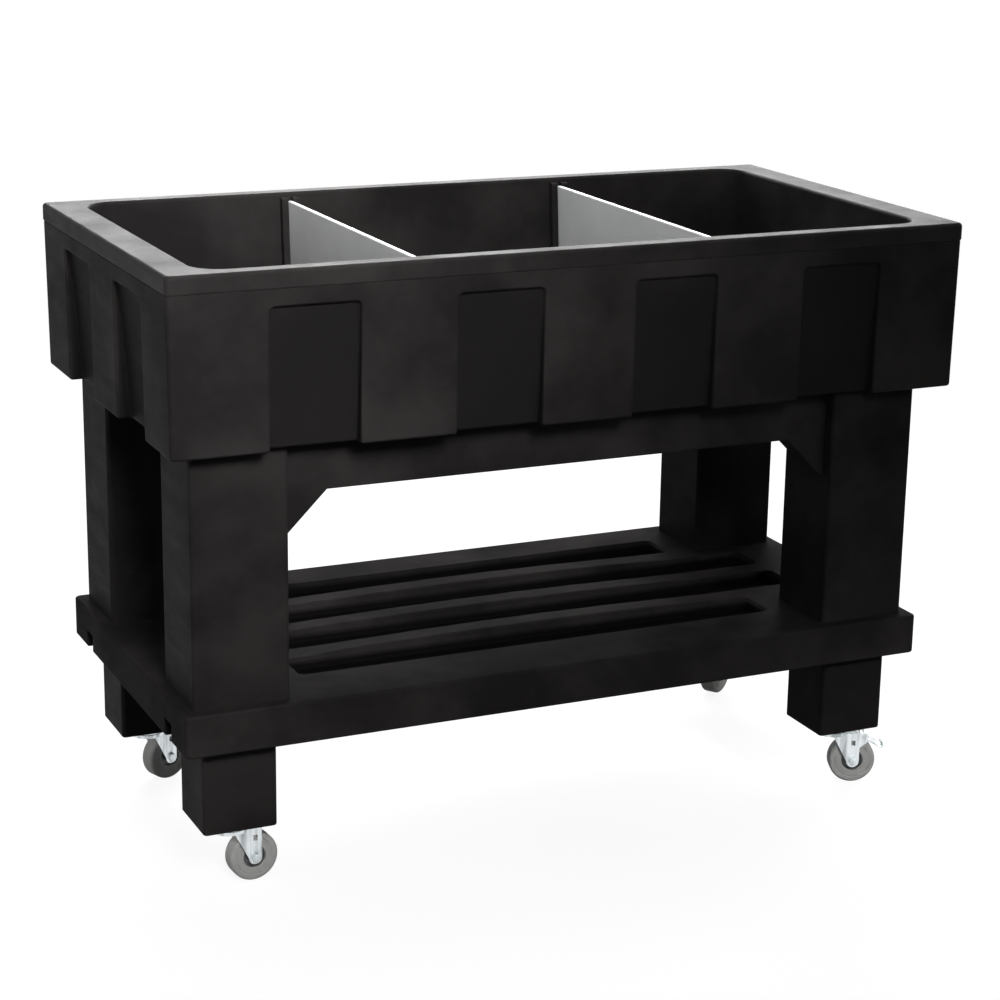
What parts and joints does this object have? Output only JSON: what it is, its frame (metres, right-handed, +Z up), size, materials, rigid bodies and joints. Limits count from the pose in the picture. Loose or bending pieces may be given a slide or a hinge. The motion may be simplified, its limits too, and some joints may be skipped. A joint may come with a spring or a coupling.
{
  "type": "mobile ice display",
  "caption": "Open insulated bin with lift-out dividers on a braced moulded stand with a ribbed lower shelf, swivel casters and a drain valve, for showing drinks on ice.",
  "frame": {"origin": "on the floor, under the middle of the bin", "axes": "+X along the bin's length to the right as seen from the front, +Y towards the back, +Z up"},
  "size_m": [1.335, 0.685, 0.99],
  "materials": {
    "shell_black": "satin, moulded",
    "liner_black": "satin, moulded",
    "leg_black": "satin, moulded",
    "apron_black": "satin, moulded",
    "shelf_black": "satin, moulded",
    "white_sheet": "semi-gloss sheet",
    "foam_core": "closed-cell foam, not seen",
    "zinc_plate": "bright zinc plate",
    "bolt_steel": "zinc plated",
    "grey_tyre": "matt",
    "hub_plastic": "moulded",
    "insert_brass": "plain",
    "strainer_steel": "brushed",
    "seal_rubber": "matt",
    "drain_plastic": "moulded",
    "lever_plastic": "moulded",
    "ball_steel": "polished",
    "seat_plastic": "plain",
    "plug_plastic": "plain"
  },
  "bodies": {
    "stand": {"apron_back": "apron_black", "apron_bolts": "bolt_steel", "apron_front": "apron_black", "bin_foam": "foam_core", "bin_liner": "liner_black", "bin_shell": "shell_black", "caster_plate_back_left": "zinc_plate", "caster_plate_back_right": "zinc_plate", "caster_plate_front_left": "zinc_plate", "caster_plate_front_right": "zinc_plate", "caster_screws": "bolt_steel", "divider_guides": "liner_black", "drain_fitting": "drain_plastic", "drain_gasket": "seal_rubber", "drain_locknut": "drain_plastic", "drain_strainer": "strainer_steel", "foot_plugs": "plug_plastic", "kingpin_back_left": "zinc_plate", "kingpin_back_right": "zinc_plate", "kingpin_front_left": "zinc_plate", "kingpin_front_right": "zinc_plate", "leg_back_left": "leg_black", "leg_back_right": "leg_black", "leg_bolts": "bolt_steel", "leg_front_left": "leg_black", "leg_front_right": "leg_black", "leg_inserts": "insert_brass", "shelf_bolts": "bolt_steel", "shelf_deck": "shelf_black", "shelf_pan": "shelf_black", "swivel_balls_back_left": "bolt_steel", "swivel_balls_back_right": "bolt_steel", "swivel_balls_front_left": "bolt_steel", "swivel_balls_front_right": "bolt_steel", "valve_body": "drain_plastic", "valve_seats": "seat_plastic", "valve_spout": "drain_plastic"},
    "swivel_front_left": {"fork_front_left": "zinc_plate", "axle_front_left": "bolt_steel"},
    "wheel_front_left": {"hub_front_left": "hub_plastic", "tyre_front_left": "grey_tyre"},
    "swivel_front_right": {"fork_front_right": "zinc_plate", "axle_front_right": "bolt_steel"},
    "wheel_front_right": {"hub_front_right": "hub_plastic", "tyre_front_right": "grey_tyre"},
    "pedal_front_right": {"brake_pedal_front_right": "zinc_plate"},
    "swivel_back_left": {"fork_back_left": "zinc_plate", "axle_back_left": "bolt_steel"},
    "wheel_back_left": {"hub_back_left": "hub_plastic", "tyre_back_left": "grey_tyre"},
    "swivel_back_right": {"fork_back_right": "zinc_plate", "axle_back_right": "bolt_steel"},
    "wheel_back_right": {"hub_back_right": "hub_plastic", "tyre_back_right": "grey_tyre"},
    "pedal_back_right": {"brake_pedal_back_right": "zinc_plate"},
    "divider_left": {"divider_left": "white_sheet"},
    "divider_right": {"divider_right": "white_sheet"},
    "valve": {"valve_handle": "lever_plastic", "valve_ball": "ball_steel"}
  },
  "joints": [
    {"name": "swivel_front_left", "type": "hinge", "parent": "stand", "child": "swivel_front_left", "pos_m": [-0.547, -0.22, 0.09], "axis": [0, 0, 1], "continuous": true},
    {"name": "roll_front_left", "type": "hinge", "parent": "swivel_front_left", "child": "wheel_front_left", "pos_m": [-0.51109, -0.21749, 0.04], "axis": [-0.0698, 0.9976, 0], "continuous": true},
    {"name": "swivel_front_right", "type": "hinge", "parent": "stand", "child": "swivel_front_right", "pos_m": [0.547, -0.22, 0.09], "axis": [0, 0, 1], "continuous": true},
    {"name": "roll_front_right", "type": "hinge", "parent": "swivel_front_right", "child": "wheel_front_right", "pos_m": [0.58038, -0.23349, 0.04], "axis": [0.3746, 0.9272, 0], "continuous": true},
    {"name": "brake_front_right", "type": "hinge", "parent": "swivel_front_right", "child": "pedal_front_right", "pos_m": [0.59614, -0.23985, 0.083], "axis": [0.3746, 0.9272, 0], "range_deg": [0, 16]},
    {"name": "swivel_back_left", "type": "hinge", "parent": "stand", "child": "swivel_back_left", "pos_m": [-0.547, 0.22, 0.09], "axis": [0, 0, 1], "continuous": true},
    {"name": "roll_back_left", "type": "hinge", "parent": "swivel_back_left", "child": "wheel_back_left", "pos_m": [-0.51317, 0.23231, 0.04], "axis": [-0.342, 0.9397, 0], "continuous": true},
    {"name": "swivel_back_right", "type": "hinge", "parent": "stand", "child": "swivel_back_right", "pos_m": [0.547, 0.22, 0.09], "axis": [0, 0, 1], "continuous": true},
    {"name": "roll_back_right", "type": "hinge", "parent": "swivel_back_right", "child": "wheel_back_right", "pos_m": [0.57649, 0.24065, 0.04], "axis": [-0.5736, 0.8192, 0], "continuous": true},
    {"name": "brake_back_right", "type": "hinge", "parent": "swivel_back_right", "child": "pedal_back_right", "pos_m": [0.59042, 0.2504, 0.083], "axis": [-0.5736, 0.8192, 0], "range_deg": [0, 16]},
    {"name": "lift_divider_left", "type": "slide", "parent": "stand", "child": "divider_left", "axis": [0, 0, 1], "range_m": [0, 0.245]},
    {"name": "lift_divider_right", "type": "slide", "parent": "stand", "child": "divider_right", "axis": [0, 0, 1], "range_m": [0, 0.245]},
    {"name": "drain_lever", "type": "hinge", "parent": "stand", "child": "valve", "pos_m": [0, 0, 0.6751], "axis": [0, 1, 0], "range_deg": [0, 90]}
  ]
}
